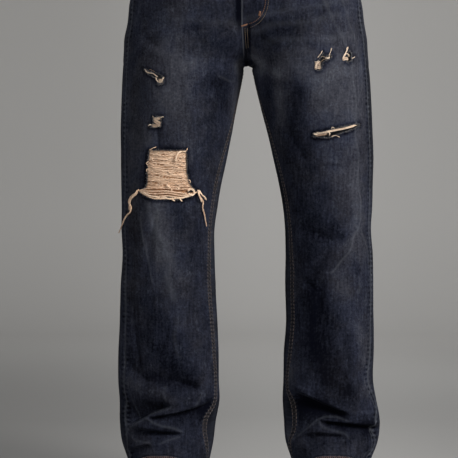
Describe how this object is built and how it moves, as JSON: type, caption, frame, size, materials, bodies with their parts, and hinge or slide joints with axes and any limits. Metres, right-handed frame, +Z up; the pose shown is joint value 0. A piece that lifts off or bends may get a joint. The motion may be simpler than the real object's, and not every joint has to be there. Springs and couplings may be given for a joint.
{
  "type": "ripped jeans",
  "caption": "Loose straight-leg denim jeans in their worn, hollow form, with a torn knee and thighs and stacked folds over the ankles.",
  "frame": {"origin": "middle of the waist opening, half way up the waistband, where the wearer's waist holds the garment", "axes": "+Z up, +X towards the wearer's left, +Y towards the wearer's back"},
  "size_m": [0.4805, 0.2873, 1.0223],
  "materials": {
    "denim": "worn dark indigo twill",
    "denim_band": "dark indigo twill, less worn",
    "ecru_yarn": "bare undyed cotton yarn",
    "copper": "dull copper"
  },
  "bodies": {
    "root": {"right_front": "denim", "left_front": "denim", "right_back": "denim", "left_back": "denim", "right_yoke": "denim", "left_yoke": "denim", "right_pocket_facing": "denim", "left_pocket_facing": "denim", "right_back_pocket": "denim", "left_back_pocket": "denim", "right_hem": "denim", "left_hem": "denim", "fly": "denim", "waistband": "denim_band", "belt_loop_1": "denim_band", "belt_loop_2": "denim_band", "belt_loop_3": "denim_band", "belt_loop_4": "denim_band", "belt_loop_5": "denim_band", "belt_loop_6": "denim_band", "button": "copper", "knee_yarns": "ecru_yarn", "slash_yarns": "ecru_yarn", "outer_hanging_yarn": "ecru_yarn", "inner_hanging_yarn": "ecru_yarn"}
  },
  "joints": []
}
